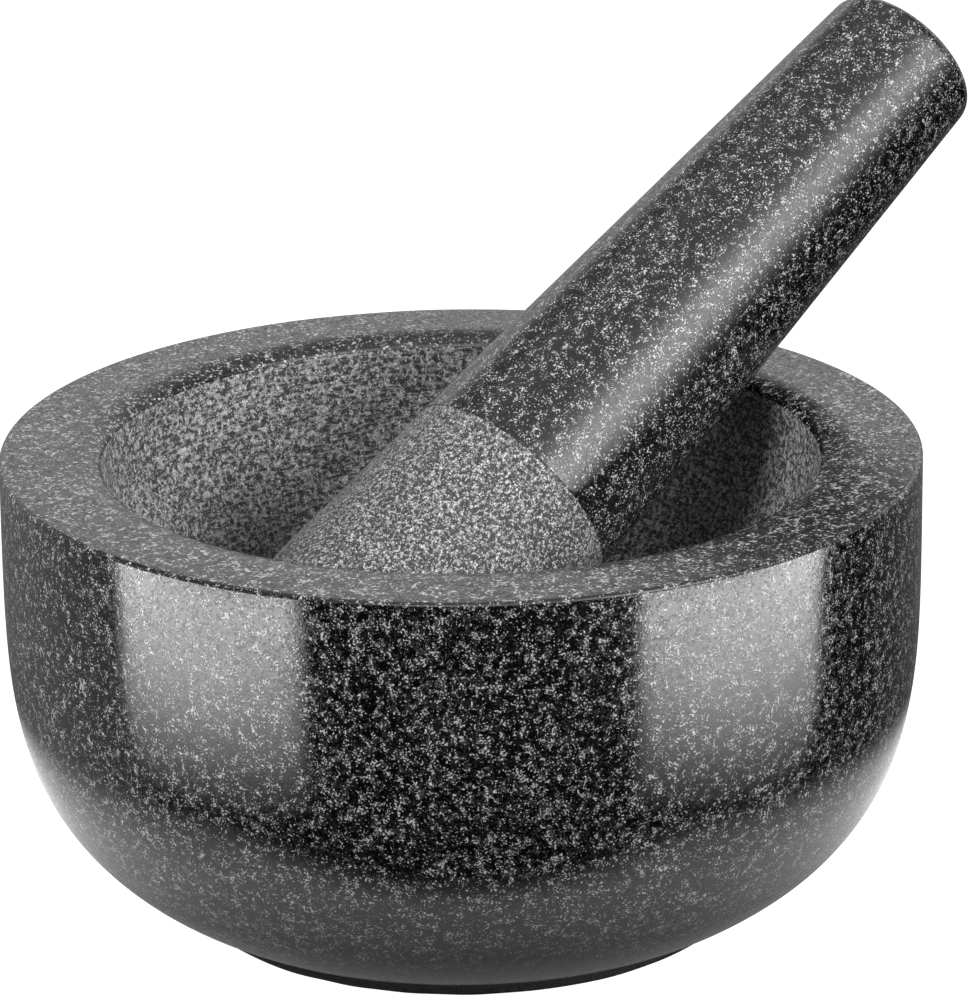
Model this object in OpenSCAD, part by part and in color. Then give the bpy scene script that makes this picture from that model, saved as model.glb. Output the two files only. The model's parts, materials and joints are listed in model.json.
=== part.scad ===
// Polished granite mortar with its granite pestle, on a thin non-slip pad.
// The mortar stands on the XY plane with its axis on Z. The pestle leans towards
// +X in the XZ plane, with its head in the bowl and its shaft on the lip.

/* [Mortar] */
// Outside diameter of the mortar
mortar_d = 150; // [125:0.5:220]
// Height of the stone, from its foot to its rim
mortar_h = 75.5; // [60:0.1:110]
// Diameter of the foot
foot_d = 92.4; // [60:0.2:110]
// Height of the upright band of the side, below the rim
band_h = 7.6; // [3:0.1:30]
// Fullness of the side's curve, across (2 is an ellipse)
curve_across = 2; // [1.6:0.05:3]
// Fullness of the side's curve, down (2 is an ellipse)
curve_down = 4; // [2:0.05:5]
// Radius of the rounded outer edge of the rim
rim_round = 0.7; // [0.4:0.1:2.5]
// Bevel round the edge of the foot
foot_bevel = 0.6; // [0.2:0.1:1.5]

/* [Bowl] */
// Width of the rim, from the outside to the mouth of the bowl
rim_w = 16.6; // [12:0.1:24]
// Thickness of the stone under the bowl
floor_t = 20; // [12:0.5:30]
// Width of the band of the rim that rolls down towards the bowl
roll_w = 4.5; // [2:0.1:6]
// Drop of the rolled band
roll_drop = 0.8; // [0.3:0.1:1.5]
// Radius of the lip, where the rim turns into the bowl
lip_r = 1.6; // [1:0.1:3]
// Slope at which the polished lip ends against the honed wall of the bowl
lip_end = 72; // [60:1:80]

/* [Pestle] */
// Length of the pestle, from the tip of its head to the shoulder of its top
pestle_l = 164.5; // [130:0.5:220]
// Diameter of the round head
head_d = 42.8; // [30:0.1:52]
// Diameter of the shaft at its top
top_d = 28.4; // [18:0.1:29]
// Radius of the rounded edge of the top
top_round = 3; // [1:0.1:5]
// Radius of the gentle crown of the top face
crown_r = 60; // [40:1:120]
// How far up the bowl's wall the head rests, in degrees from the bottom
rest_angle = 30.6; // [20:0.1:36]
// Air between the two stones where they lean on each other
lean_gap = 0.3; // [0.2:0.05:0.5]

/* [Base pad] */
// Thickness of the non-slip pad
pad_t = 2; // [1:0.1:4]
// How far the pad stays inside the edge of the foot
pad_inset = 0.3; // [0.1:0.1:5]
// Radius of the rounded edges of the pad
pad_round = 0.3; // [0.1:0.05:0.45]

/* [Hidden] */
$fn = 180;
ARC_STEP = 4;
SIDE_STEPS = 28;

// Radii, and heights above the surface that the pad stands on
side_r = mortar_d / 2;
foot_r = foot_d / 2;
rim_z = pad_t + mortar_h;
band_z = rim_z - band_h;
floor_z = pad_t + floor_t;

// The side is a superellipse. It starts upright at the foot of the band, and is as
// deep as it takes to be in line with the foot's own radius where it meets the foot.
foot_turn = acos(pow(foot_r / side_r, curve_across / 2));
curve_h = (band_z - pad_t) / pow(sin(foot_turn), 2 / curve_down);
bevel_turn = asin(pow((band_z - pad_t - foot_bevel) / curve_h, curve_down / 2));

// The rolled band is an arc that starts level, and the lip goes on from its slope
mouth_r = side_r - rim_w;
roll_slope = 2 * atan(roll_drop / roll_w);
roll_r = roll_w / sin(roll_slope);
lip_x = mouth_r + lip_r * sin(lip_end);
lip_z = rim_z - roll_drop - lip_r * cos(roll_slope);
roll_x = lip_x - lip_r * sin(roll_slope) + roll_w;

// The bowl is a cap of a sphere or, where it is deep, a half sphere under an upright wall
bowl_h = lip_z + lip_r * cos(lip_end) - floor_z;
bowl_r = bowl_h < mouth_r ? (mouth_r * mouth_r + bowl_h * bowl_h) / (2 * bowl_h) : mouth_r;
bowl_z = floor_z + bowl_r;
bowl_edge = -acos(mouth_r / bowl_r);

// The pestle's own origin is the centre of its round head. Its cone is tangent to the
// head and passes the top's diameter where the rounded edge of the top starts.
head_r = head_d / 2;
edge_z = pestle_l - head_r - top_round;
taper = asin(head_r / norm([edge_z, top_d / 2])) - atan2(top_d / 2, edge_z);
edge_x = (head_r - top_round) / cos(taper) - edge_z * tan(taper);
crown_z = edge_z - sqrt(pow(crown_r - top_round, 2) - edge_x * edge_x);
crown_edge = acos(edge_x / (crown_r - top_round));

// The head rests in the bowl, and the lean lays the cone's underside on the lip
head_reach = bowl_r - head_r - lean_gap;
head_x = -head_reach * sin(rest_angle);
head_z = bowl_z - head_reach * cos(rest_angle);
lip_from_head = [lip_x - head_x, lip_z - head_z];
lip_tilt = atan2(lip_from_head[0], lip_from_head[1]);
lean = lip_tilt + taper - asin((head_r + lip_r + lean_gap) / norm(lip_from_head));

// Points on an arc about [x, z], from angle a to angle b, with both ends
function arc(x, z, r, a, b) =
    let (steps = ceil(abs(b - a) / ARC_STEP))
    [for (i = [0:steps])
        let (turn = a + (b - a) * i / steps)
        [x + r * cos(turn), z + r * sin(turn)]];

// Points on the mortar's side, from the foot's bevel up to the band
side_curve =
    [for (i = [SIDE_STEPS:-1:0])
        let (turn = bevel_turn * i / SIDE_STEPS)
        [side_r * pow(cos(turn), 2 / curve_across), band_z - curve_h * pow(sin(turn), 2 / curve_down)]];

// Stone body, turned in one piece: side, rim, lip and bowl
module mortar() {
    color("#2b2c2e")
    rotate_extrude()
    polygon(concat(
        [[0, pad_t], [foot_r - foot_bevel, pad_t]],
        side_curve,
        arc(side_r - rim_round, rim_z - rim_round, rim_round, 0, 90),
        arc(roll_x, rim_z - roll_r, roll_r, 90, 90 + roll_slope),
        arc(lip_x, lip_z, lip_r, 90 + roll_slope, 90 + lip_end),
        arc(0, bowl_z, bowl_r, bowl_edge, -90)
    ));
}

// Stone pestle, turned in one piece: round head, tapering shaft and crowned top
module pestle() {
    color("#4a4c4f")
    translate([head_x, 0, head_z])
    rotate([0, lean, 0])
    rotate_extrude()
    polygon(concat(
        arc(0, 0, head_r, -90, taper),
        arc(edge_x, edge_z, top_round, taper, crown_edge),
        arc(0, crown_z, crown_r, crown_edge, 90)
    ));
}

// Thin pad, cut as a disc and stuck under the foot
module base_pad() {
    pad_r = foot_r - foot_bevel - pad_inset;
    color("#151515")
    rotate_extrude()
    polygon(concat(
        [[0, 0]],
        arc(pad_r - pad_round, pad_round, pad_round, -90, 0),
        arc(pad_r - pad_round, pad_t - pad_round, pad_round, 0, 90),
        [[0, pad_t]]
    ));
}

mortar();
pestle();
base_pad();
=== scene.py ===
import json
import math

import bpy
import numpy as np
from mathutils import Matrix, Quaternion, Vector


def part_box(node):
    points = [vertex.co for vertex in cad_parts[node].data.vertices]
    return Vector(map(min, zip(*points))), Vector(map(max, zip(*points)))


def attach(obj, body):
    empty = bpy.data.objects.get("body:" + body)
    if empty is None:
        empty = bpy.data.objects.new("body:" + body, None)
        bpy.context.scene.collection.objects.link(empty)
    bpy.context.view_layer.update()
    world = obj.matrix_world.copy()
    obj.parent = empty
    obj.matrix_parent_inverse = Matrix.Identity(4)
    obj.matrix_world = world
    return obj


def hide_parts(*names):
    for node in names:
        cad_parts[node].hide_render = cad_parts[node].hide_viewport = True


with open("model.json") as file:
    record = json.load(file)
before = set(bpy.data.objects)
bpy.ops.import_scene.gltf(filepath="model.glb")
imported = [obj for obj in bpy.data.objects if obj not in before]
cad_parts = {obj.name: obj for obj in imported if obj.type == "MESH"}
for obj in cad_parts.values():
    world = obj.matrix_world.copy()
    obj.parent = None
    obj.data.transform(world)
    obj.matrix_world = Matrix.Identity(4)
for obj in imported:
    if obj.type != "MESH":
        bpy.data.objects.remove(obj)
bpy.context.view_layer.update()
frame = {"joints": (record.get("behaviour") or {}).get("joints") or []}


# ---- Camera ----------------------------------------------------------------
# A long lens about a metre away, looking 21 degrees down. The pestle leans away
# from it to the right, so the camera stands round from the pestle's own plane.
VIEW_TURN = math.radians(41.54)
VIEW_RISE = math.radians(20.685)
VIEW_DISTANCE = 1.0218
VIEW_ROLL = math.radians(-0.566)
LENS_MM = 223.18
ORBIT_HEIGHT = 0.0382
AIM_RIGHT, AIM_HEIGHT = 0.0040, 0.0680

toward_camera = Vector((-math.sin(VIEW_TURN), -math.cos(VIEW_TURN), 0))
camera_right = Vector((math.cos(VIEW_TURN), -math.sin(VIEW_TURN), 0))
upward = Vector((0, 0, 1))

lens = bpy.data.cameras.new("camera")
lens.lens = LENS_MM
lens.sensor_width = 36
lens.clip_start, lens.clip_end = 0.05, 20
camera = bpy.data.objects.new("camera", lens)
camera.location = (
    toward_camera * VIEW_DISTANCE * math.cos(VIEW_RISE)
    + upward * (ORBIT_HEIGHT + VIEW_DISTANCE * math.sin(VIEW_RISE))
)
aim = camera_right * AIM_RIGHT + upward * AIM_HEIGHT
looking = (aim - camera.location).to_track_quat("-Z", "Y")
camera.rotation_euler = (looking @ Quaternion((0, 0, 1), VIEW_ROLL)).to_euler()
bpy.context.collection.objects.link(camera)
bpy.context.scene.camera = camera
bpy.context.scene.view_settings.view_transform = "Standard"


# ---- Studio: floor and room -------------------------------------------------
# A white floor that only the camera sees. What the polished stone mirrors is made of
# separate cards and a room of its own, as a stone is lit in a studio.
def studio_point(turn, rise, distance):
    """The place seen from the mortar at an angle right of the camera, an angle up, and a distance."""
    level = toward_camera * math.cos(turn) + camera_right * math.sin(turn)
    return (level * math.cos(rise) + upward * math.sin(rise)) * distance


def stage_sheet(name, corners):
    """A flat four-cornered sheet through the corners in order, with its edges as the 0 to 1 of its UV map."""
    mesh = bpy.data.meshes.new(name)
    mesh.from_pydata([tuple(corner) for corner in corners], [], [(0, 1, 2, 3)])
    edges = mesh.uv_layers.new(name="sheet")
    edges.data.foreach_set("uv", [0, 0, 1, 0, 1, 1, 0, 1])
    sheet = bpy.data.objects.new(name, mesh)
    bpy.context.collection.objects.link(sheet)
    return sheet


def maths(nodes, links, operation, *values):
    """The result of a math node on numbers or sockets."""
    node = nodes.new("ShaderNodeMath")
    node.operation = operation
    for socket, value in zip(node.inputs, values):
        if isinstance(value, (int, float)):
            socket.default_value = value
        else:
            links.new(value, socket)
    return node.outputs[0]


def smoothed(nodes, links, value, low, high, low_value=0.0, high_value=1.0):
    """What goes smoothly from low_value to high_value while a socket's value goes from low to high."""
    node = nodes.new("ShaderNodeMapRange")
    node.interpolation_type = "SMOOTHSTEP"
    links.new(value, node.inputs["Value"])
    for name, edge in [("From Min", low), ("From Max", high), ("To Min", low_value), ("To Max", high_value)]:
        if isinstance(edge, (int, float)):
            node.inputs[name].default_value = edge
        else:
            links.new(edge, node.inputs[name])
    return node.outputs["Result"]


def glow(name, sheet, colour_ramp, strength, measure=None):
    """An emitting material whose brightness follows a ramp up the sheet, or along another measure of it."""
    material = bpy.data.materials.new(name)
    material.use_nodes = True
    nodes, links = material.node_tree.nodes, material.node_tree.links
    nodes.clear()
    output = nodes.new("ShaderNodeOutputMaterial")
    emission = nodes.new("ShaderNodeEmission")
    emission.inputs["Strength"].default_value = strength
    place = nodes.new("ShaderNodeUVMap")
    split = nodes.new("ShaderNodeSeparateXYZ")
    ramp = nodes.new("ShaderNodeValToRGB")
    ramp.color_ramp.elements[0].position, ramp.color_ramp.elements[1].position = 0.0, 1.0
    for position, value in colour_ramp:
        element = ramp.color_ramp.elements.new(position)
        element.color = (value, value, value, 1)
    ramp.color_ramp.elements[0].color = ramp.color_ramp.elements[1].color
    ramp.color_ramp.elements[-1].color = ramp.color_ramp.elements[-2].color
    if measure is None:
        links.new(place.outputs["UV"], split.inputs[0])
        links.new(split.outputs["Y"], ramp.inputs["Fac"])
        surface = emission.outputs[0]
    else:
        cover = measure(nodes, links, ramp.inputs["Fac"])
        thinned = nodes.new("ShaderNodeMixShader")
        links.new(cover, thinned.inputs[0])
        links.new(nodes.new("ShaderNodeBsdfTransparent").outputs[0], thinned.inputs[1])
        links.new(emission.outputs[0], thinned.inputs[2])
        surface = thinned.outputs[0]
    links.new(ramp.outputs["Color"], emission.inputs["Color"])
    links.new(surface, output.inputs["Surface"])
    material.cycles.emission_sampling = "NONE"
    sheet.data.materials.append(material)
    sheet.visible_camera = False
    sheet.visible_diffuse = False
    sheet.visible_shadow = False
    sheet.visible_transmission = False


FLOOR_REACH = 6.0
FLOOR_TONE, FLOOR_GLOW = 0.5, 0.98
floor = stage_sheet("floor", [
    (-FLOOR_REACH, -FLOOR_REACH, 0), (FLOOR_REACH, -FLOOR_REACH, 0),
    (FLOOR_REACH, FLOOR_REACH, 0), (-FLOOR_REACH, FLOOR_REACH, 0)])
floor_paint = bpy.data.materials.new("floor_paint")
floor_paint.use_nodes = True
floor_shader = floor_paint.node_tree.nodes["Principled BSDF"]
floor_shader.inputs["Base Color"].default_value = (FLOOR_TONE, FLOOR_TONE, FLOOR_TONE, 1)
floor_shader.inputs["Roughness"].default_value = 0.9
floor_shader.inputs["Specular IOR Level"].default_value = 0.0
floor_shader.inputs["Emission Color"].default_value = (1, 1, 1, 1)
floor_shader.inputs["Emission Strength"].default_value = FLOOR_GLOW
floor_paint.cycles.emission_sampling = "NONE"
floor.data.materials.append(floor_paint)
floor.visible_glossy = False
floor.visible_diffuse = False

# The room: white where the camera looks past the floor, and a dim dome for the soft
# light. What the stone mirrors is a grey ceiling in bands, a wall low behind it and a
# dark surround, with a large soft box on the right, for the pestle, one in front, and a
# dim one low on the left. A box is its angle right of the camera, its angle up, its
# brightness and how tightly it is bounded. The ceiling's brightness goes by the height
# of the looking direction, and the wall fades between two cosines from straight behind.
DOME_GLOW, WALL_GLOW = 0.14, 0.65
WALL_EDGES = (0.3, 0.8)
CEILING = [
    (-0.05, 0.02), (0.2, 0.9), (0.34, 1.45), (0.45, 0.85), (0.58, 0.45), (0.75, 0.55), (0.9, 1.3)]
BOXES = [(51, 25.5, 9.2, 15.0), (-5, 38, 5.0, 26.0), (-115, -21, 0.5, 8.0)]

room = bpy.data.worlds.new("room")
bpy.context.scene.world = room
room.use_nodes = True
nodes, links = room.node_tree.nodes, room.node_tree.links
nodes.clear()
direction = nodes.new("ShaderNodeTexCoord")
height = nodes.new("ShaderNodeSeparateXYZ")
links.new(direction.outputs["Generated"], height.inputs[0])


def sky(low, low_value, high, high_value):
    """A value that goes smoothly from one to another between two heights of the looking direction."""
    return smoothed(nodes, links, height.outputs["Z"], low, high, low_value, high_value)


def toward(way):
    """How much the looking direction agrees with a given one: the cosine of the angle between them."""
    node = nodes.new("ShaderNodeVectorMath")
    node.operation = "DOT_PRODUCT"
    node.inputs[1].default_value = way
    links.new(direction.outputs["Generated"], node.inputs[0])
    return node.outputs["Value"]


behind = smoothed(nodes, links, toward(-toward_camera), *WALL_EDGES)
wall = maths(
    nodes, links, "MULTIPLY", behind, sky(low=-0.45, low_value=0.1, high=0.1, high_value=WALL_GLOW))
ceiling = nodes.new("ShaderNodeValToRGB")
ceiling.color_ramp.elements.remove(ceiling.color_ramp.elements[0])
ceiling.color_ramp.elements[0].position = 1.0
for place, value in CEILING:
    element = ceiling.color_ramp.elements.new((place + 1) / 2)
    element.color = (value, value, value, 1)
ceiling.color_ramp.elements[-1].color = ceiling.color_ramp.elements[-2].color
links.new(maths(nodes, links, "MULTIPLY_ADD", height.outputs["Z"], 0.5, 0.5), ceiling.inputs["Fac"])
mirrored_value = maths(nodes, links, "MAXIMUM", wall, ceiling.outputs["Color"])
for turn, rise, strength, tightness in BOXES:
    agreement = toward(studio_point(math.radians(turn), math.radians(rise), 1.0))
    fall = maths(nodes, links, "MULTIPLY_ADD", agreement, tightness, -tightness)
    box = maths(nodes, links, "EXPONENT", fall)
    mirrored_value = maths(nodes, links, "MULTIPLY_ADD", box, strength, mirrored_value)

seen, mirrored, dome = [nodes.new("ShaderNodeBackground") for _ in range(3)]
seen.inputs["Color"].default_value = (1, 1, 1, 1)
links.new(mirrored_value, mirrored.inputs["Strength"])
links.new(sky(low=-0.1, low_value=0.02, high=0.3, high_value=DOME_GLOW), dome.inputs["Strength"])
ray = nodes.new("ShaderNodeLightPath")
mirror_or_dome, room_mix = [nodes.new("ShaderNodeMixShader") for _ in range(2)]
room_output = nodes.new("ShaderNodeOutputWorld")
links.new(ray.outputs["Is Glossy Ray"], mirror_or_dome.inputs[0])
links.new(dome.outputs[0], mirror_or_dome.inputs[1])
links.new(mirrored.outputs[0], mirror_or_dome.inputs[2])
links.new(ray.outputs["Is Camera Ray"], room_mix.inputs[0])
links.new(mirror_or_dome.outputs[0], room_mix.inputs[1])
links.new(seen.outputs[0], room_mix.inputs[2])
links.new(room_mix.outputs[0], room_output.inputs["Surface"])


# ---- Studio: lamps and mirrored cards ----------------------------------------
# A soft box lights the stone from the front right, a weaker one fills from the front
# left, and two low ones light its sides. The mortar's side mirrors two upright cards,
# which reach down through the floor's level: the floor itself is not mirrored.
LAMP_DISTANCE, LAMP_WIDTH, LAMP_LIFT = 1.0, 0.35, 0.06


def soft_box(name, turn, rise, power):
    """A square lamp at a studio point, facing the mortar. The stone is lit by it and does not mirror it."""
    light = bpy.data.lights.new(name, "AREA")
    light.size = LAMP_WIDTH
    light.energy = power
    lamp = bpy.data.objects.new(name, light)
    from_mortar = studio_point(turn, rise, LAMP_DISTANCE)
    lamp.location = from_mortar + upward * LAMP_LIFT
    lamp.rotation_euler = (-from_mortar).to_track_quat("-Z", "Y").to_euler()
    lamp.visible_camera = False
    lamp.visible_glossy = False
    bpy.context.collection.objects.link(lamp)


for name, turn, rise, power in [
        ("right_lamp", 50, 30, 8.0), ("left_lamp", -46, 33, 5.6),
        ("low_left_lamp", -80, -3, 7.0), ("low_right_lamp", 88, -3, 0.5)]:
    soft_box(name, math.radians(turn), math.radians(rise), power)


def side_card(name, turn_from, turn_to, distance, low, high, ramp, strength):
    """An upright card between two angles from the camera, from one height to another."""
    start, end = studio_point(turn_from, 0, distance), studio_point(turn_to, 0, distance)
    sheet = stage_sheet(name, [
        start + upward * low, end + upward * low, end + upward * high, start + upward * high])
    glow(name, sheet, ramp, strength)


CARD_DISTANCE, CARD_LOW, CARD_HIGH = 0.32, -0.13, 0.02
CARD_GLOW = 9.3
CARD_RAMP = [(0.10, 0.0), (0.39, 0.15), (0.60, 0.42), (0.70, 0.82), (0.80, 1.0)]
for name, turn_from, turn_to in [("left_card", -35.4, -82.3), ("right_card", 39.0, 87.8)]:
    side_card(
        name, math.radians(turn_from), math.radians(turn_to), CARD_DISTANCE, CARD_LOW, CARD_HIGH,
        CARD_RAMP, CARD_GLOW)

# The stone's underside mirrors a white stand, wider than the mortar and cut off in front
# of it. Its glow is darker under the mortar, a painted shadow: a ramp over the distance from the axis.
STAND_R, STAND_EDGE, STAND_Z = 0.125, 0.028, 0.0005
STAND_FRONT, STAND_FADE = 0.100, 0.024
# The ramp's low values near the axis are the mortar's painted shadow on the stand.
STAND_RAMP_WITH_PAINTED_SHADOW = [(0.36, 0.17), (0.48, 0.30), (0.60, 0.85), (0.68, 1.2), (1.0, 1.1)]
stand = stage_sheet("stand", [
    (-STAND_R, -STAND_R, STAND_Z), (STAND_R, -STAND_R, STAND_Z),
    (STAND_R, STAND_R, STAND_Z), (-STAND_R, STAND_R, STAND_Z)])


def from_the_mortar(nodes, links, along_ramp):
    """Feeds the ramp the distance from the mortar's axis, as a share of the stand's radius.

    Returns how much of the stand there is at a place: it fades at its edge and in front.
    """
    place = nodes.new("ShaderNodeTexCoord")
    distance, forward = [nodes.new("ShaderNodeVectorMath") for _ in range(2)]
    distance.operation, forward.operation = "LENGTH", "DOT_PRODUCT"
    forward.inputs[1].default_value = toward_camera
    for measured in (distance, forward):
        links.new(place.outputs["Object"], measured.inputs[0])
    links.new(maths(nodes, links, "DIVIDE", distance.outputs["Value"], STAND_R), along_ramp)
    within = smoothed(nodes, links, distance.outputs["Value"], STAND_R - STAND_EDGE, STAND_R, 1.0, 0.0)
    front = smoothed(
        nodes, links, forward.outputs["Value"], STAND_FRONT - STAND_FADE, STAND_FRONT, 1.0, 0.0)
    return maths(nodes, links, "MULTIPLY", within, front)


glow("stand", stand, STAND_RAMP_WITH_PAINTED_SHADOW, 1.0, from_the_mortar)


# ---- Mortar ------------------------------------------------------------------
# One block of black granite, turned on a lathe. The side is polished and the rim and
# lip are satin. The bowl is ground with a coarser wheel and left honed, so it is paler.
def arc(centre_r, centre_z, radius, start, end, steps):
    """Points on an arc: centre plus radius times cosine and sine of an angle that goes from start to end."""
    turn = np.linspace(start, end, steps)
    return np.stack([centre_r + radius * np.cos(turn), centre_z + radius * np.sin(turn)], -1)


def straight(start, end, steps):
    """Evenly spaced points on a line between two points, without the ends."""
    share = np.linspace(0, 1, steps + 2)[1:-1, None]
    return np.asarray(start) * (1 - share) + np.asarray(end) * share


WAVES_MAX = 3.0


def waves(places, length, seed, count=28):
    """A smooth random height, hardly ever above WAVES_MAX: a sum of sine waves in random directions.

    The sum of sin(2 pi / length * heading . place + phase) over the waves, over the root of their count.
    """
    rng = np.random.default_rng(seed)
    heading = rng.normal(size=(count, 3))
    heading *= (2 * math.pi / length) / np.linalg.norm(heading, axis=1, keepdims=True)
    phase = rng.uniform(0, 2 * math.pi, count)
    return np.sin(places @ heading.T + phase).sum(-1) / math.sqrt(count)


SHARP_ANGLE = math.radians(28)


def turned(name, outline, columns, finish_rows, finishes, shape=None, place=None):
    """A solid of revolution: an outline of (radius, height) from pole to pole, carried round the axis.

    A point is (radius cos a, radius sin a, height). shape(points, share) returns how far each
    point moves along its outline's normal, and place(points) puts the finished points where they go.
    """
    turn = np.arange(columns) * (2 * math.pi / columns)
    ring = outline[1:-1]
    along = np.gradient(outline, axis=0)[1:-1]
    normal = np.stack([along[:, 1], -along[:, 0]], -1)
    normal /= np.linalg.norm(normal, axis=1, keepdims=True)
    rows = len(ring)
    around = np.stack([np.cos(turn), np.sin(turn)], -1)

    def carried(flat):
        return np.concatenate([
            flat[:, None, :1] * around[None, :, :],
            np.repeat(flat[:, None, 1:], columns, 1)], -1)

    points = carried(ring)
    if shape is not None:
        points = points + carried(normal) * shape(points, np.arange(1, rows + 1))[..., None]
    poles = np.array([[0, 0, outline[0, 1]], [0, 0, outline[-1, 1]]])
    vertices = np.concatenate([points.reshape(-1, 3), poles])
    if place is not None:
        vertices = place(vertices)

    index = np.arange(rows * columns).reshape(rows, columns)
    following = np.roll(index, -1, axis=1)
    quads = np.stack([index[:-1], following[:-1], following[1:], index[1:]], -1).reshape(-1, 4)
    first = np.stack([np.full(columns, rows * columns), following[0], index[0]], -1)
    last = np.stack([np.full(columns, rows * columns + 1), index[-1], following[-1]], -1)
    corners = np.concatenate([first.ravel(), quads.ravel(), last.ravel()])
    sizes = np.concatenate([np.full(columns, 3), np.full(len(quads), 4), np.full(columns, 3)])

    mesh = bpy.data.meshes.new(name)
    mesh.vertices.add(len(vertices))
    mesh.vertices.foreach_set("co", vertices.ravel())
    mesh.loops.add(len(corners))
    mesh.loops.foreach_set("vertex_index", corners.astype(np.int32))
    mesh.polygons.add(len(sizes))
    mesh.polygons.foreach_set("loop_start", np.concatenate([[0], np.cumsum(sizes)[:-1]]).astype(np.int32))

    share_u, share_v = np.arange(columns) / columns, np.linspace(0, 1, rows + 2)
    u = np.broadcast_to(share_u, (rows - 1, columns))
    v = np.broadcast_to(share_v[1:-1, None], (rows, columns))
    step = 1 / columns
    quad_uv = np.stack([
        np.stack([u, v[:-1]], -1), np.stack([u + step, v[:-1]], -1),
        np.stack([u + step, v[1:]], -1), np.stack([u, v[1:]], -1)], -2)
    first_uv = np.stack([
        np.stack([share_u + step / 2, np.zeros(columns)], -1),
        np.stack([share_u + step, np.full(columns, share_v[1])], -1),
        np.stack([share_u, np.full(columns, share_v[1])], -1)], -2)
    last_uv = np.stack([
        np.stack([share_u + step / 2, np.ones(columns)], -1),
        np.stack([share_u, np.full(columns, share_v[-2])], -1),
        np.stack([share_u + step, np.full(columns, share_v[-2])], -1)], -2)
    turned_uv = mesh.uv_layers.new(name="turned")
    turned_uv.data.foreach_set("uv", np.concatenate([first_uv.ravel(), quad_uv.ravel(), last_uv.ravel()]))

    face_row = np.concatenate([
        np.zeros(columns), np.repeat(np.arange(1, rows), columns), np.full(columns, rows)])
    for finish in finishes:
        mesh.materials.append(finish)
    face_finish = np.searchsorted(finish_rows, face_row, side="right").astype(np.int32)
    mesh.polygons.foreach_set("material_index", face_finish)
    mesh.update()
    mesh.validate()
    mesh.polygons.foreach_set("use_smooth", np.ones(len(mesh.polygons), dtype=bool))
    mesh.set_sharp_from_angle(angle=SHARP_ANGLE)
    piece = bpy.data.objects.new(name, mesh)
    bpy.context.collection.objects.link(piece)
    return piece


# Where the matrix turns grey, how soft the edge of a pale grain is, and the least tone of
# a grey crystal and of a pale grain. Facets above PIT_FROM are pits, which roughen the
# polish, as grey crystals do. The relief weighs the grain and the crystals against them.
MATRIX_EDGES, GRAIN_EDGE = (0.46, 0.61), 0.05
CRYSTAL_LEAST, GRAIN_LEAST = 0.3, 0.25
CELLS_PER_CRYSTAL = 1.1
PIT_FROM, PIT_SOFTNESS, GREY_SOFTNESS = 0.8, 0.8, 0.5
GRAIN_RELIEF, CRYSTAL_RELIEF = 1.5, 0.3


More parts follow.
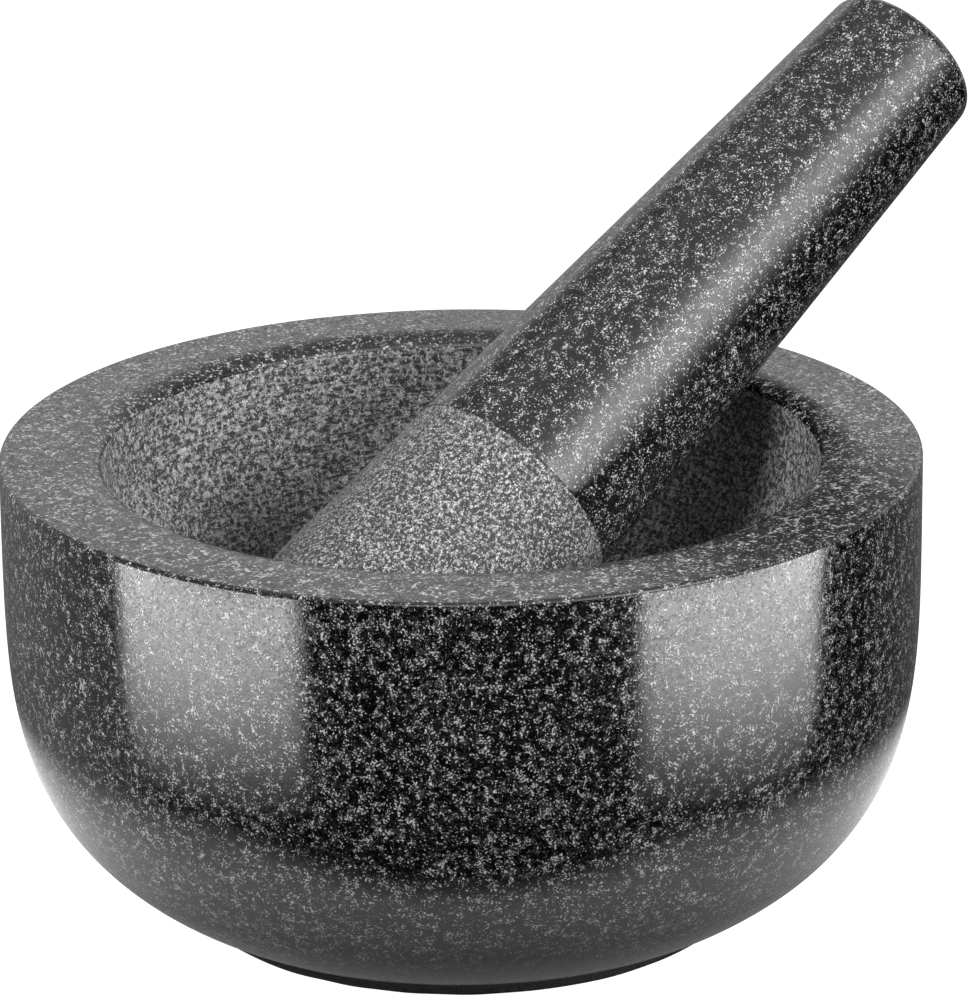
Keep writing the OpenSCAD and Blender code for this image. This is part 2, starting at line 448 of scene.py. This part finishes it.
def granite_group():
    """Granite in three dimensions: black crystals in a grey matrix, fine pale grains and soft pits."""
    group = bpy.data.node_groups.new("granite", "ShaderNodeTree")
    face = group.interface
    for socket, kind, value in [
            ("Crystal size", "NodeSocketFloat", 0.0016), ("Grain size", "NodeSocketFloat", 0.0004),
            ("Grain level", "NodeSocketFloat", 0.6), ("Clustering", "NodeSocketFloat", 0.5),
            ("Dark stone", "NodeSocketColor", (0.004, 0.004, 0.004, 1)),
            ("Grey stone", "NodeSocketColor", (0.04, 0.04, 0.04, 1)),
            ("Pale stone", "NodeSocketColor", (0.5, 0.5, 0.5, 1))]:
        face.new_socket(name=socket, in_out="INPUT", socket_type=kind).default_value = value
    face.new_socket(name="Colour", in_out="OUTPUT", socket_type="NodeSocketColor")
    face.new_socket(name="Softness", in_out="OUTPUT", socket_type="NodeSocketFloat")
    face.new_socket(name="Relief", in_out="OUTPUT", socket_type="NodeSocketFloat")
    nodes, links = group.nodes, group.links
    given, result = nodes.new("NodeGroupInput"), nodes.new("NodeGroupOutput")

    def worked(operation, *values):
        return maths(nodes, links, operation, *values)

    def blend(share, first, second):
        node = nodes.new("ShaderNodeMix")
        node.data_type = "RGBA"
        links.new(share, node.inputs[0])
        links.new(first, node.inputs[6])
        links.new(second, node.inputs[7])
        return node.outputs[2]

    place = nodes.new("ShaderNodeTexCoord").outputs["Object"]

    def noise(scale, detail, roughness):
        node = nodes.new("ShaderNodeTexNoise")
        node.inputs["Detail"].default_value = detail
        node.inputs["Roughness"].default_value = roughness
        links.new(place, node.inputs["Vector"])
        links.new(scale, node.inputs["Scale"])
        return node.outputs["Fac"]

    def cells(scale):
        node = nodes.new("ShaderNodeTexVoronoi")
        links.new(place, node.inputs["Vector"])
        links.new(scale, node.inputs["Scale"])
        split = nodes.new("ShaderNodeSeparateColor")
        links.new(node.outputs["Color"], split.inputs[0])
        return split.outputs

    crystal_size, grain_size = given.outputs["Crystal size"], given.outputs["Grain size"]
    matrix = noise(worked("DIVIDE", 1.0, crystal_size), detail=3.0, roughness=0.62)
    grain = noise(worked("DIVIDE", 1.0, grain_size), detail=2.0, roughness=0.55)
    crystal = cells(worked("DIVIDE", CELLS_PER_CRYSTAL, crystal_size))
    facet = cells(worked("DIVIDE", 1.0, grain_size))

    grey_crystal = worked("MULTIPLY_ADD", crystal[0], 1 - CRYSTAL_LEAST, CRYSTAL_LEAST)
    greyness = worked("MULTIPLY", smoothed(nodes, links, matrix, *MATRIX_EDGES), grey_crystal)
    stone = blend(greyness, given.outputs["Dark stone"], given.outputs["Grey stone"])

    level = given.outputs["Grain level"]
    leaning = worked("MULTIPLY_ADD", worked("SUBTRACT", matrix, 0.5), given.outputs["Clustering"], grain)
    pale_grain = worked("MULTIPLY_ADD", facet[0], 1 - GRAIN_LEAST, GRAIN_LEAST)
    fleck = worked(
        "MULTIPLY", smoothed(nodes, links, leaning, level, worked("ADD", level, GRAIN_EDGE)), pale_grain)
    links.new(blend(fleck, stone, given.outputs["Pale stone"]), result.inputs["Colour"])

    pit = worked("GREATER_THAN", facet[1], PIT_FROM)
    soft_pit, soft_grey = worked("MULTIPLY", pit, PIT_SOFTNESS), worked("MULTIPLY", greyness, GREY_SOFTNESS)
    links.new(worked("MAXIMUM", soft_pit, soft_grey), result.inputs["Softness"])
    dents = worked("SUBTRACT", worked("MULTIPLY", crystal[1], CRYSTAL_RELIEF), pit)
    links.new(worked("MULTIPLY_ADD", grain, GRAIN_RELIEF, dents), result.inputs["Relief"])
    return group


granite = granite_group()
STONE_IOR = 1.55


def stone_finish(
        name, crystal_size, grain_size, roughness, soft_roughness, gloss, relief,
        level, clustering, dark, grey, pale, marks=None):
    """A granite material: the group's colours and relief, and its softness between two roughnesses.

    marks(nodes, links, bump, stone colour, finished colour) adds what a tool left on the surface.
    """
    material = bpy.data.materials.new(name)
    material.use_nodes = True
    nodes, links = material.node_tree.nodes, material.node_tree.links
    shader = nodes["Principled BSDF"]
    shader.inputs["IOR"].default_value = STONE_IOR
    grain = nodes.new("ShaderNodeGroup")
    grain.node_tree = granite
    grain.inputs["Crystal size"].default_value = crystal_size
    grain.inputs["Grain size"].default_value = grain_size
    grain.inputs["Grain level"].default_value = level
    grain.inputs["Clustering"].default_value = clustering
    grain.inputs["Dark stone"].default_value = (dark, dark, dark, 1)
    grain.inputs["Grey stone"].default_value = (grey, grey, grey, 1)
    grain.inputs["Pale stone"].default_value = (pale, pale, pale, 1)
    links.new(grain.outputs["Colour"], shader.inputs["Base Color"])
    shader.inputs["Specular IOR Level"].default_value = gloss
    between = nodes.new("ShaderNodeMapRange")
    between.inputs["To Min"].default_value = roughness
    between.inputs["To Max"].default_value = soft_roughness
    links.new(grain.outputs["Softness"], between.inputs["Value"])
    links.new(between.outputs["Result"], shader.inputs["Roughness"])
    bump = nodes.new("ShaderNodeBump")
    bump.inputs["Strength"].default_value = 1.0
    bump.inputs["Distance"].default_value = relief
    links.new(grain.outputs["Relief"], bump.inputs["Height"])
    links.new(bump.outputs["Normal"], shader.inputs["Normal"])
    if marks is not None:
        marks(nodes, links, bump, grain.outputs["Colour"], shader.inputs["Base Color"])
    return material


RINGS_ROUND, RINGS_ALONG, RING_DEPTH = 140, 420, 0.0003
DUST_EDGES, DUST_SHARE, DUST_TONE = (0.5, 0.64), 0.5, 0.6


def grinding_marks(nodes, links, bump, stone_colour, finished_colour):
    """Rings left by the wheel, with pale dust: noise stretched round the bowl on its turned UV map."""
    turned_place = nodes.new("ShaderNodeUVMap")
    turned_place.uv_map = "turned"
    stretch = nodes.new("ShaderNodeMapping")
    stretch.inputs["Scale"].default_value = (RINGS_ROUND, RINGS_ALONG, 1)
    ring_noise = nodes.new("ShaderNodeTexNoise")
    ring_noise.inputs["Scale"].default_value = 1
    ring_noise.inputs["Detail"].default_value = 4
    rings_bump = nodes.new("ShaderNodeBump")
    rings_bump.inputs["Strength"].default_value = 1.0
    rings_bump.inputs["Distance"].default_value = RING_DEPTH
    links.new(turned_place.outputs["UV"], stretch.inputs["Vector"])
    links.new(stretch.outputs["Vector"], ring_noise.inputs["Vector"])
    links.new(ring_noise.outputs["Fac"], rings_bump.inputs["Height"])
    links.new(rings_bump.outputs["Normal"], bump.inputs["Normal"])
    dusted = nodes.new("ShaderNodeMix")
    dusted.data_type = "RGBA"
    dusted.inputs[7].default_value = (DUST_TONE, DUST_TONE, DUST_TONE, 1)
    dusty = smoothed(nodes, links, ring_noise.outputs["Fac"], *DUST_EDGES, high_value=DUST_SHARE)
    links.new(dusty, dusted.inputs[0])
    links.new(stone_colour, dusted.inputs[6])
    links.new(dusted.outputs[2], finished_colour)


mortar_low, mortar_high = [Vector(corner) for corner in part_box("mortar")]
SIDE_R, RIM_Z, FOOT_Z = mortar_high.x, mortar_high.z, mortar_low.z
FOOT_R, FOOT_BEVEL, RIM_ROUND, BAND_H = 0.0462, 0.0006, 0.0007, 0.0076
SIDE_STEPS, SIDE_CROWDING, RIM_ROUND_STEPS = 76, 1.15, 9
RIM_W, FLOOR_T = 0.0166, 0.020
ROLL_W, ROLL_DROP, LIP_R, LIP_END = 0.0045, 0.0008, 0.0016, math.radians(72)

# The side is a superellipse: its radius goes with cos t and its depth below the band with
# the root of sin t. Its points crowd a little towards the band, where t is 0.
band_z = RIM_Z - BAND_H
foot_turn = math.acos(FOOT_R / SIDE_R)
curve_h = (band_z - FOOT_Z) / math.sqrt(math.sin(foot_turn))
bevel_turn = math.asin(((band_z - FOOT_Z - FOOT_BEVEL) / curve_h) ** 2)
side_t = bevel_turn * np.linspace(1, 0, SIDE_STEPS) ** SIDE_CROWDING
side = np.stack([SIDE_R * np.cos(side_t), band_z - curve_h * np.sqrt(np.sin(side_t))], -1)

mouth_r = SIDE_R - RIM_W
roll_slope = 2 * math.atan(ROLL_DROP / ROLL_W)
roll_r = ROLL_W / math.sin(roll_slope)
lip_r, lip_z = mouth_r + LIP_R * math.sin(LIP_END), RIM_Z - ROLL_DROP - LIP_R * math.cos(roll_slope)
roll_centre_r = lip_r - LIP_R * math.sin(roll_slope) + ROLL_W
bowl_h = lip_z + LIP_R * math.cos(LIP_END) - (FOOT_Z + FLOOR_T)
bowl_r = (mouth_r ** 2 + bowl_h ** 2) / (2 * bowl_h)
bowl_z = FOOT_Z + FLOOR_T + bowl_r
right_angle = math.pi / 2

foot_edge = (FOOT_R - FOOT_BEVEL, FOOT_Z)
foot_part = np.concatenate([[[0, FOOT_Z]], straight((0, FOOT_Z), foot_edge, steps=8), [foot_edge]])
rim_part = np.concatenate([
    arc(SIDE_R - RIM_ROUND, RIM_Z - RIM_ROUND, RIM_ROUND, 0, right_angle, RIM_ROUND_STEPS),
    straight((SIDE_R - RIM_ROUND, RIM_Z), (roll_centre_r, RIM_Z), steps=8),
    arc(roll_centre_r, RIM_Z - roll_r, roll_r, right_angle, right_angle + roll_slope, steps=7),
    arc(lip_r, lip_z, LIP_R, right_angle + roll_slope, right_angle + LIP_END, steps=8)[1:]])
bowl_part = arc(0, bowl_z, bowl_r, -math.acos(mouth_r / bowl_r), -right_angle, steps=84)[1:]
bowl_part[-1, 0] = 0
mortar_outline = np.concatenate([foot_part, side, rim_part, bowl_part])
rim_starts = len(foot_part) + len(side) + RIM_ROUND_STEPS - 1
bowl_starts = len(foot_part) + len(side) + len(rim_part) - 1


POLISH_WAVE, POLISH_WAVE_LENGTH = 0.000012, 0.022
HONED_WAVE, HONED_WAVE_LENGTH = 0.00006, 0.007
WHEEL_STEP, WHEEL_TURN, FADE_ROWS = 0.00003, 1.9, 6


def mortar_surface(points, row):
    """Waviness, inwards only: slow and slight outside, coarser in the bowl, with the wheel's shallow steps.

    Waves of POLISH_WAVE outside; waves of HONED_WAVE and a sine of WHEEL_STEP over the rows in the bowl.
    """
    in_bowl = np.clip((row - bowl_starts - 1) / FADE_ROWS, 0, 1)[:, None]
    polished = POLISH_WAVE * (waves(points, POLISH_WAVE_LENGTH, seed=3) - WAVES_MAX)
    steps = WHEEL_STEP * (np.sin(row * WHEEL_TURN)[:, None] - 1)
    honed = HONED_WAVE * (waves(points, HONED_WAVE_LENGTH, seed=4) - WAVES_MAX) + steps
    return polished * (1 - in_bowl) + honed * in_bowl


mortar_polish = stone_finish(
    "polished_granite", crystal_size=0.0014, grain_size=0.00032, roughness=0.06, soft_roughness=0.30,
    gloss=0.45, relief=0.00001, level=0.597, clustering=0.65, dark=0.002, grey=0.04, pale=0.74)
rim_satin = stone_finish(
    "satin_rim", crystal_size=0.0016, grain_size=0.00048, roughness=0.17, soft_roughness=0.38,
    gloss=0.46, relief=0.00003, level=0.58, clustering=0.6, dark=0.003, grey=0.07, pale=0.85)
bowl_honed = stone_finish(
    "honed_bowl", crystal_size=0.0009, grain_size=0.00029, roughness=0.5, soft_roughness=0.8,
    gloss=0.10, relief=0.00012, level=0.57, clustering=0.55, dark=0.07, grey=0.56, pale=0.98,
    marks=grinding_marks)
mortar = turned(
    "mortar_stone", mortar_outline, 480, [rim_starts, bowl_starts], [mortar_polish, rim_satin, bowl_honed],
    shape=mortar_surface)
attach(mortar, "mortar")
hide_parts("mortar")


# ---- Pestle ------------------------------------------------------------------
# One rod of the same granite. The shaft and its crowned top are polished, and the
# round head is honed like the bowl, up to a crisp ring where the polish starts.
HEAD_R, TOP_R, PESTLE_L = 0.0214, 0.0142, 0.1645
TOP_ROUND, CROWN_R, HONED_L = 0.003, 0.060, 0.0345
HONED_STEP, RING_HALF, RING_SHARE, RING_END = 0.00012, 0.00003, 0.3, 0.0002

edge_z = PESTLE_L - HEAD_R - TOP_ROUND
taper = math.asin(HEAD_R / math.hypot(edge_z, TOP_R)) - math.atan2(TOP_R, edge_z)
edge_r = (HEAD_R - TOP_ROUND) / math.cos(taper) - edge_z * math.tan(taper)
crown_z = edge_z - math.sqrt((CROWN_R - TOP_ROUND) ** 2 - edge_r ** 2)
crown_edge = math.acos(edge_r / (CROWN_R - TOP_ROUND))


def cone(z):
    """A point on the pestle's cone at a height above the centre of its head."""
    return (HEAD_R / math.cos(taper) - z * math.tan(taper), z)


head_part = arc(0, 0, HEAD_R, -right_angle, taper, steps=60)
head_part[0, 0] = 0
honed_cone = straight(head_part[-1], cone(HONED_L), steps=30)
shaft_cone = straight(cone(HONED_L + 2 * RING_END), cone(edge_z), steps=92)
top_part = np.concatenate([
    arc(edge_r, edge_z, TOP_ROUND, taper, crown_edge, steps=14),
    arc(0, crown_z, CROWN_R, crown_edge, right_angle, steps=18)[1:]])
top_part[-1, 0] = 0
honed = np.concatenate([head_part, honed_cone])
honed[1:, 0] -= HONED_STEP

# The ring where the polish starts: a steep rise from the honed level, then up to the cone
ring_edge = np.array([
    [cone(HONED_L)[0] - HONED_STEP, HONED_L - RING_HALF],
    [cone(HONED_L)[0] - HONED_STEP * RING_SHARE, HONED_L + RING_HALF],
    cone(HONED_L + RING_END)])
pestle_outline = np.concatenate([honed, ring_edge, shaft_cone, top_part])
polish_starts = len(honed)

pull = Vector(next(joint for joint in frame["joints"] if joint["name"] == "pestle_lift")["axis"])
lean = right_angle - math.atan2(pull.z, pull.x) + taper
pestle_low = Vector(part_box("pestle")[0])
head_centre = np.array([pestle_low.x + HEAD_R, 0, pestle_low.z + HEAD_R])
lean_turn = np.array([
    [math.cos(lean), 0, math.sin(lean)], [0, 1, 0], [-math.sin(lean), 0, math.cos(lean)]])


def leaned(points):
    """Turns the pestle about Y by its lean and moves its head's centre to where it rests."""
    return points @ lean_turn.T + head_centre


SHAFT_WAVE, SHAFT_WAVE_LENGTH = 0.00001, 0.02
HEAD_WAVE, HEAD_WAVE_LENGTH = 0.00004, 0.006


def pestle_surface(points, row):
    """Waviness, inwards only: waves of SHAFT_WAVE on the polished shaft and coarser ones on the head."""
    on_shaft = (row >= polish_starts)[:, None]
    shaft = SHAFT_WAVE * (waves(points, SHAFT_WAVE_LENGTH, seed=7) - WAVES_MAX)
    head = HEAD_WAVE * (waves(points, HEAD_WAVE_LENGTH, seed=8) - WAVES_MAX)
    return np.where(on_shaft, shaft, head)


pestle_polish = stone_finish(
    "polished_pestle", crystal_size=0.0014, grain_size=0.00031, roughness=0.08, soft_roughness=0.30,
    gloss=0.45, relief=0.00001, level=0.597, clustering=0.55, dark=0.002, grey=0.035, pale=0.90)
pestle_honed = stone_finish(
    "honed_head", crystal_size=0.0007, grain_size=0.00029, roughness=0.5, soft_roughness=0.8,
    gloss=0.23, relief=0.00010, level=0.56, clustering=0.5, dark=0.06, grey=0.38, pale=0.98)
pestle = turned(
    "pestle_stone", pestle_outline, 320, [polish_starts], [pestle_honed, pestle_polish],
    shape=pestle_surface, place=leaned)
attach(pestle, "pestle")
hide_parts("pestle")


# ---- Base pad ----------------------------------------------------------------
# A disc of thin black foam rubber, cut with a die and stuck under the foot, so
# the stone neither slips nor scratches the table.
pad_low, pad_high = [Vector(corner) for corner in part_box("base_pad")]
PAD_R, PAD_T, PAD_ROUND = pad_high.x, pad_high.z, 0.0003
EDGE_WAVE, EDGE_WAVE_LENGTH, EDGE_BAND = 0.00004, 0.009, 0.002
FOAM_CELLS_PER_METRE, FOAM_DEPTH = 3500, 0.0001
FOAM_DARK, FOAM_PALE = 0.004, 0.014

pad_outline = np.concatenate([
    [[0, pad_low.z]], straight((0, pad_low.z), (PAD_R - PAD_ROUND, pad_low.z), steps=30),
    arc(PAD_R - PAD_ROUND, pad_low.z + PAD_ROUND, PAD_ROUND, -right_angle, 0, steps=5),
    arc(PAD_R - PAD_ROUND, PAD_T - PAD_ROUND, PAD_ROUND, 0, right_angle, steps=5),
    straight((PAD_R - PAD_ROUND, PAD_T), (0, PAD_T), steps=30), [[0, PAD_T]]])

foam = bpy.data.materials.new("pad_foam")
foam.use_nodes = True
nodes, links = foam.node_tree.nodes, foam.node_tree.links
foam_shader = nodes["Principled BSDF"]
foam_shader.inputs["Roughness"].default_value = 0.8
foam_place = nodes.new("ShaderNodeTexCoord")
foam_cells = nodes.new("ShaderNodeTexVoronoi")
foam_cells.inputs["Scale"].default_value = FOAM_CELLS_PER_METRE
foam_tone = nodes.new("ShaderNodeValToRGB")
foam_tone.color_ramp.elements[0].color = (FOAM_DARK, FOAM_DARK, FOAM_DARK, 1)
foam_tone.color_ramp.elements[1].color = (FOAM_PALE, FOAM_PALE, FOAM_PALE, 1)
foam_bump = nodes.new("ShaderNodeBump")
foam_bump.inputs["Distance"].default_value = FOAM_DEPTH
links.new(foam_place.outputs["Object"], foam_cells.inputs["Vector"])
links.new(foam_cells.outputs["Distance"], foam_tone.inputs["Fac"])
links.new(foam_tone.outputs["Color"], foam_shader.inputs["Base Color"])
links.new(foam_cells.outputs["Distance"], foam_bump.inputs["Height"])
links.new(foam_bump.outputs["Normal"], foam_shader.inputs["Normal"])


def pad_surface(points, row):
    """Foam is cut a little unevenly, inwards only: waves times exp(-(way from the edge / band)^2)."""
    edge = np.exp(-((np.hypot(points[..., 0], points[..., 1]) - PAD_R) / EDGE_BAND) ** 2)
    return EDGE_WAVE * edge * (waves(points, EDGE_WAVE_LENGTH, seed=11) - WAVES_MAX)


pad = turned("base_pad_foam", pad_outline, 320, [], [foam], shape=pad_surface)
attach(pad, "mortar")
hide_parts("base_pad")
